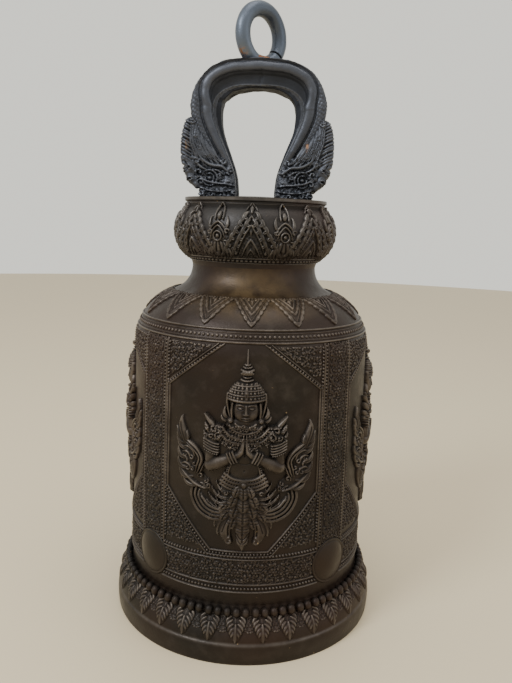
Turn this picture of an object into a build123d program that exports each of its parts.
from build123d import *
from math import cos, sin, radians, pi
import os

# Temple bell, cast bronze, millimetres. Origin: centre of the mouth rim, +Z up.
# The front panel faces -Y, the hanger arch stands in the XZ plane.

# ---- driving dimensions ----
HEIGHT = 600.0          # foot to top of the suspension ring
FOOT_R = 134.2          # radius at the very foot
FOOT_STEP_Z = 18.5      # top edge of the plain band round the foot
LIP_R = 122.0           # inner radius of the mouth
WAIST_R = 119.3         # radius just above the foot mouldings
SHOULDER_R = 116.4      # radius where the shoulder starts to turn in
SHOULDER_Z = 280.0
SHOULDER_ARC_R = 52.0   # outer radius of the shoulder curve
NECK_R = 61.5
NECK_Z = 353.0          # top of the shell, under the crown
CROWN_TOP_Z = 417.0     # rim of the crown collar
WALL = 7.0
BEADS = 90              # foot bead ring
BEAD_R = 3.7
FOOT_PETALS = 33
SHOULDER_PETALS = 16
SHOULDER_TURN = 2.3     # degrees the shoulder petals stand turned from the panels
RELIEF_TURN = 1.4         # how far the figures stand off the panel middle, degrees
CROWN_PETALS = 8
PANEL_HALF = 37.6       # half angle of a panel frame, degrees
PANEL_Z0, PANEL_Z1 = 100.0, 296.0
BAND_Z0, BAND_Z1 = 62.0, 100.0
OCTAGON_X = 67.5        # half width of the octagonal field
BOSS_R = 22.0           # strike boss
BOSS_Z = 81.0
HANGER_DEPTH = 48.0
HANGER_TOP_Z = 547.0
HANGER_HALF = 64.5
WINDOW_HALF = 42.7
RING_R = 24.3           # suspension ring, centre line
RING_BAR_R = 7.1
RING_YAW = 46.7         # degrees the ring stands turned from the arch

SIDES = {"front": 0, "right": 90, "back": 180, "left": 270}
os.makedirs("parts", exist_ok=True)


def face_of(*curves):
    return make_face(Curve() + list(curves))


def shell_outline():
    """Filled outer section of shell, from the axis to the surface, r along x."""
    return face_of(
        Line((0, 0), (FOOT_R, 0)),
        ThreePointArc((FOOT_R, 0), (135, FOOT_STEP_Z / 2), (134.5, FOOT_STEP_Z)),
        Line((134.5, FOOT_STEP_Z), (133.0, FOOT_STEP_Z + 2)),
        ThreePointArc((133.0, FOOT_STEP_Z + 2), (129.3, 32), (121.8, 41.5)),
        Line((121.8, 41.5), (WAIST_R, 50)),
        Line((WAIST_R, 50), (118.6, 165)),
        Line((118.6, 165), (SHOULDER_R, SHOULDER_Z)),
        ThreePointArc((SHOULDER_R, SHOULDER_Z), (104, 311), (80.8, 326.8)),
        ThreePointArc((80.8, 326.8), (67.2, 335.8), (NECK_R, NECK_Z)),
        Line((NECK_R, NECK_Z), (0, NECK_Z)),
        Line((0, NECK_Z), (0, 0)),
    )


def bore_outline():
    """Inside of the bell from the mouth up through the hollow neck."""
    neck = NECK_R - WALL
    return face_of(
        Line((0, -1), (LIP_R, -1)),
        Line((LIP_R, -1), (LIP_R, 3)),
        ThreePointArc((LIP_R, 3), (118.5, 25), (WAIST_R - WALL, 50)),
        Line((WAIST_R - WALL, 50), (SHOULDER_R - WALL, SHOULDER_Z)),
        ThreePointArc((SHOULDER_R - WALL, SHOULDER_Z), (98.5, 306.5), (76, 320.5)),
        ThreePointArc((76, 320.5), (61, 331), (neck, NECK_Z)),
        Line((neck, NECK_Z), (neck, NECK_Z + 1)),
        Line((neck, NECK_Z + 1), (0, NECK_Z + 1)),
        Line((0, NECK_Z + 1), (0, -1)),
    )


def collar_outline():
    """Filled outer section of the crown collar."""
    return face_of(
        Line((0, NECK_Z), (NECK_R, NECK_Z)),
        Line((NECK_R, NECK_Z), (63.5, 359)),
        ThreePointArc((63.5, 359), (77.3, 381), (68.2, 408)),
        Line((68.2, 408), (68.2, 413)),
        Line((68.2, 413), (70, 414)),
        Line((70, 414), (70, CROWN_TOP_Z)),
        Line((70, CROWN_TOP_Z), (0, CROWN_TOP_Z)),
        Line((0, CROWN_TOP_Z), (0, NECK_Z)),
    )


def turned(section, arc=360.0):
    """Section revolved about Z, an arc centred on the front (-Y) direction."""
    solid = revolve(Plane.XZ * section, Axis.Z, revolution_arc=arc)
    return Rot(0, 0, -90 - arc / 2) * solid if arc < 360 else solid


def skin(outline, z0, z1, thick, lean=0.0):
    """Section of a layer lying on an outline, raised in a direction leaning up."""
    raised = Pos(thick * cos(radians(lean)), thick * sin(radians(lean))) * outline
    return (raised - outline) & Pos(100, (z0 + z1) / 2) * Rectangle(180, z1 - z0)


def frontal(outline, depth=200.0):
    """An outline drawn as seen from the front, made into a prism towards -Y."""
    return extrude(Plane.XZ * outline, amount=depth)


def around(shape, count, start=0.0):
    return [Rot(0, 0, start + 360.0 * i / count) * shape for i in range(count)]


def save(name, shape):
    shape = shape.clean() if hasattr(shape, "clean") else shape
    shape.label = name
    export_step(shape, f"parts/{name}.step")
    return shape


SHELL = shell_outline()
COLLAR = collar_outline()
SHELL_SOLID = turned(SHELL)
COLLAR_SOLID = turned(COLLAR)


def bell_part(z0, z1):
    """One storey of the hollow bell body."""
    wall = SHELL - bore_outline()
    return turned(wall & Pos(100, (z0 + z1) / 2) * Rectangle(200, z1 - z0))


def foot_bead_ring():
    r, z = 123.4, 45.8
    core = turned(Pos(r, z) * Circle(2.4))
    beads = around(Pos(r + 0.9, 0, z) * Sphere(BEAD_R), BEADS)
    return core + beads - SHELL_SOLID


def foot_petals():
    band = turned(skin(SHELL, FOOT_STEP_Z + 3, 41.0, 2.0, 28))
    notch = Polyline((-11, 20), (11, 20), (2.0, 29), (0, 34), (-2.0, 29), close=True)
    cutter = frontal(make_face(notch))
    return band - around(cutter, FOOT_PETALS)


def boss_plug(extra=0.0):
    """Round column of one strike boss, with its domed end, at the front."""
    dome = Pos(0, -63, BOSS_Z) * Sphere(62)
    column = Pos(0, -100, BOSS_Z) * Rot(90, 0, 0) * Cylinder(BOSS_R + extra, 60)
    return dome & column


def strike_boss():
    return boss_plug() - SHELL_SOLID


def boss_hole():
    return Pos(0, -110, BOSS_Z) * Rot(90, 0, 0) * Cylinder(BOSS_R, 60)


def lower_band():
    band = turned(skin(SHELL, BAND_Z0, BAND_Z1, 1.6), 2 * PANEL_HALF)
    for z in (BAND_Z0 + 1.2, BAND_Z0 + 9, BAND_Z1 - 5.5):
        band += turned(skin(SHELL, z - 1, z + 1, 2.4), 2 * PANEL_HALF)
    for turn in (-45, 45):
        band -= Rot(0, 0, turn) * boss_hole()
    return band


def octagon(grow=0.0):
    x = OCTAGON_X + grow
    return make_face(
        Polyline(
            (-18, 291 + grow), (18, 291 + grow), (x, 251), (x, 155),
            (26, 103.5 - grow), (-26, 103.5 - grow), (-x, 155), (-x, 251), close=True,
        )
    )


def panel_frame():
    field = turned(skin(SHELL, PANEL_Z0, 291, 1.4), 2 * PANEL_HALF)
    border = turned(skin(SHELL, PANEL_Z0, 291, 2.4), 2 * PANEL_HALF)
    border &= frontal(octagon(4.5))
    frame = (field + border) - frontal(octagon())
    for turn in (-45, 45):
        frame -= Rot(0, 0, turn) * boss_hole()
    return frame


def pilaster():
    width = 90 - 2 * PANEL_HALF
    column = turned(skin(SHELL, BOSS_Z + 9, 291, 1.4), width)
    for turn in (-width / 2 + 1.2, width / 2 - 1.2):
        edge = turned(skin(SHELL, BOSS_Z + 9, 291, 2.4), 2.0)
        column += Rot(0, 0, turn) * edge
    return column - boss_hole()


def mirrored(points):
    """Right half of an outline, top to bottom, closed by its mirror image."""
    return make_face(Polyline(*points, *[(-x, z) for x, z in reversed(points)], close=True))


def deity_outline():
    half = [(1.2, 288), (2.2, 277), (7, 268), (14, 261), (16.5, 252), (15.5, 245), (20, 240),
            (17, 226), (15, 221), (30.5, 222), (29, 208), (32, 190), (28, 179), (15, 178),
            (12, 172), (21, 160), (36, 146), (33, 137), (18, 134), (13, 118), (1.5, 104)]
    return mirrored(half)


def deity(leaves):
    return (turned(skin(SHELL, 104, 289, 6.5), 60) & frontal(deity_outline())) - leaves


def foliage():
    """Flame-like wings rising beside the figure, joined behind it."""
    half = [(10, 172), (33, 176), (39, 192), (49, 206), (54, 214), (57.5, 226), (60.5, 210),
            (62, 190), (62, 170), (55, 152), (46, 132), (28, 128), (14, 116)]
    return turned(skin(SHELL, 112, 240, 3.4), 76) & frontal(mirrored(half))


def shoulder_moulding():
    ring = skin(SHELL, 291, 305, 0.9, 25)
    for r, z, rad in ((113.4, 293.6, 1.5), (111.4, 298.6, 1.9), (108.9, 303.4, 1.5)):
        ring += Pos(r + 0.6, z) * Circle(rad)
    ring = (ring & Pos(100, 298) * Rectangle(60, 14)) - SHELL
    return turned(ring)


def shoulder_petals():
    layer = turned(skin(SHELL, 305, 327.5, 1.8, 60))
    tip = Polyline((82, -15.2), (108.5, 0), (82, 15.2), close=True)
    petal = Pos(0, 0, 290) * extrude(make_face(tip), amount=60)
    plan = Pos(0, 0, 290) * extrude(Circle(86.5), amount=60)
    for one in around(petal, SHOULDER_PETALS, 270 + SHOULDER_TURN):
        plan += one
    return layer & plan


def neck_bead_ring():
    return turned((Pos(65.4, 360.4) * Circle(2.6)) - COLLAR - SHELL)


def crown_collar():
    hollow = Pos(27, 385) * Rectangle(54, 70) + Pos(31, 414) * Rectangle(62, 14)
    return turned(COLLAR - hollow)


def crown_cap():
    rise, edge = 4.0, 62.0
    radius = (edge**2 + rise**2) / (2 * rise)
    disc = Pos(0, 0, 413.5) * Cylinder(edge, 13)
    return disc & Pos(0, 0, 420 - radius) * Sphere(radius)


def petal_prism(half_width, z0, z1):
    w = half_width
    outline = face_of(
        Line((-w * 0.72, z0), (w * 0.72, z0)),
        ThreePointArc((w * 0.72, z0), (w, z0 + 0.35 * (z1 - z0)), (0, z1)),
        ThreePointArc((0, z1), (-w, z0 + 0.35 * (z1 - z0)), (-w * 0.72, z0)),
    )
    return frontal(outline)


def crown_petals_main():
    layer = turned(skin(COLLAR, 363.5, 408, 2.8))
    keep = Pos(0, 0, 365.5) * Cylinder(100, 4)
    for one in around(petal_prism(21, 364, 407.5), CROWN_PETALS):
        keep += one
    return layer & keep


def crown_petals_minor(main):
    layer = turned(skin(COLLAR, 363.5, 412.5, 2.4))
    keep = Pos(0, 0, 410.5) * Cylinder(100, 4)
    for one in around(petal_prism(17, 368, 411), CROWN_PETALS, 180.0 / CROWN_PETALS):
        keep += one
    body = (layer & keep) - main
    return sorted(body.solids(), key=lambda s: s.volume)[-1]


# ---- hanger ----
def both_sides(*curves):
    half = face_of(*curves)
    return half + mirror(half, about=Plane.YZ)


def omega_window(grow=0.0, floor=400.0):
    """Opening of the arch, narrow at its feet; grow widens it evenly."""
    side = [(43 + grow, 496), (37.6 + grow, 479), (27.8 + grow, 457.5),
            (21.3 + grow, 441), (19.0 + grow, 426)]
    top = 522 + grow
    return both_sides(
        Line((0, top), (16, top)),
        ThreePointArc((16, top), (34.5 + 0.75 * grow, 515 + 0.7 * grow), side[0]),
        Spline(*side, tangents=((0, -1), (0, -1))),
        Line(side[-1], (side[-1][0], floor)),
        Line((side[-1][0], floor), (0, floor)),
        Line((0, floor), (0, top)),
    )


def inner_window():
    """Opening of the web between the two faces of the arch: narrower, with rounder corners."""
    side = [(36.0, 489), (33.0, 474), (25.5, 456.5), (19.9, 441), (17.8, 426)]
    return both_sides(
        Line((0, 520.5), (8, 520.5)),
        ThreePointArc((8, 520.5), (27.5, 511), side[0]),
        Spline(*side, tangents=((0, -1), (0, -1))),
        Line(side[-1], (side[-1][0], 400)),
        Line((side[-1][0], 400), (0, 400)),
        Line((0, 400), (0, 520.5)),
    )


def arch_outline():
    """Full bar of the arch, from the outer edge to the feet, window not yet cut."""
    side = [(HANGER_HALF, 497), (60, 479), (47, 456), (37, 440), (33, 424)]
    return both_sides(
        ThreePointArc((0, HANGER_TOP_Z), (14, 546.3), (28, 544.3)),
        ThreePointArc((28, 544.3), (55.5, 528), side[0]),
        Spline(*side, tangents=((0, -1), (0, -1))),
        Line(side[-1], (33, 412)),
        Line((33, 412), (0, 412)),
        Line((0, 412), (0, HANGER_TOP_Z)),
    )


def slab(outline, depth):
    return extrude(Plane.XZ * outline, amount=depth / 2, both=True)


def hanger_arch(cap):
    bar = arch_outline()
    outer = slab(bar, HANGER_DEPTH - 8)
    roll = slab(omega_window(12) & bar, HANGER_DEPTH)
    web = slab(bar - inner_window(), 24)
    knob = Pos(0, -HANGER_DEPTH / 2 + 1, 529) * Box(5, 6, 14)
    return (outer + roll + knob - slab(omega_window(), 80)) + web - cap


def leg_outline():
    """Outer edge of one leg with its mane and head, right-hand side."""
    return face_of(
        Line((30, 412), (54, 412)),
        Line((54, 412), (54, 427)),
        ThreePointArc((54, 427), (62, 428), (67, 435)),
        ThreePointArc((67, 435), (73, 457), (72, 474)),
        ThreePointArc((72, 474), (70.5, 483), (67, 490)),
        Line((67, 490), (52, 490)),
        Line((52, 490), (30, 440)),
        Line((30, 440), (30, 412)),
    )


def leg_part(upper, cap):
    beyond = slab(leg_outline() - arch_outline(), HANGER_DEPTH - 6)
    cut = Pos(50, 0, 448 + 60) * Box(80, 80, 120)
    return (beyond & cut if upper else beyond - cut) - cap


def suspension_ring(arch):
    ring = Rot(90, 0, 0) * Torus(RING_R, RING_BAR_R)
    gap = Rot(0, 38, 0) * Pos(RING_R, 0, 0) * Box(20, 20, 1.2)
    ring = Rot(0, 0, -90 + RING_YAW + 90) * (ring - gap)
    return Pos(0, 0, HEIGHT - RING_R - RING_BAR_R) * ring - arch


def ring_braze(arch, ring):
    lump = Pos(0, 0, 545) * Rot(0, 0, RING_YAW) * extrude(Ellipse(17, 10.5), amount=6.5, taper=28)
    return lump - arch - ring


# ---- write every piece ----
for name, z0, z1 in (("bell_foot", 0, 50), ("bell_waist", 50, SHOULDER_Z),
                     ("bell_shoulder", SHOULDER_Z, 327), ("bell_neck", 327, NECK_Z)):
    save(name, bell_part(z0, z1))
save("foot_bead_ring", foot_bead_ring())
save("foot_petals", foot_petals())
frame, band, post, boss = panel_frame(), lower_band(), pilaster(), strike_boss()
leaves = foliage()
god = deity(leaves)
for side, turn in SIDES.items():
    spin = Rot(0, 0, turn)
    save(f"panel_frame_{side}", spin * frame)
    save(f"lower_band_{side}", spin * band)
    lean = Rot(0, 0, turn + RELIEF_TURN)
    save(f"deity_{side}", lean * god)
    save(f"foliage_{side}", lean * leaves)
    spin = Rot(0, 0, turn + 45)
    save(f"pilaster_{side}_corner", spin * post)
    save(f"strike_boss_{side}_corner", spin * boss)
save("shoulder_moulding", shoulder_moulding())
save("shoulder_petals", shoulder_petals())
save("neck_bead_ring", neck_bead_ring())
save("crown_collar", crown_collar())
main = crown_petals_main()
save("crown_petals_main", main)
save("crown_petals_minor", crown_petals_minor(main))
cap = crown_cap()
save("crown_cap", cap)
arch = hanger_arch(cap)
save("hanger_arch", arch)
mane, head = leg_part(True, cap), leg_part(False, cap)
save("hanger_mane_right", mane)
save("hanger_head_right", head)
save("hanger_mane_left", mirror(mane, about=Plane.YZ))
save("hanger_head_left", mirror(head, about=Plane.YZ))
ring = suspension_ring(arch)
save("suspension_ring", ring)
save("ring_braze", ring_braze(arch, ring))
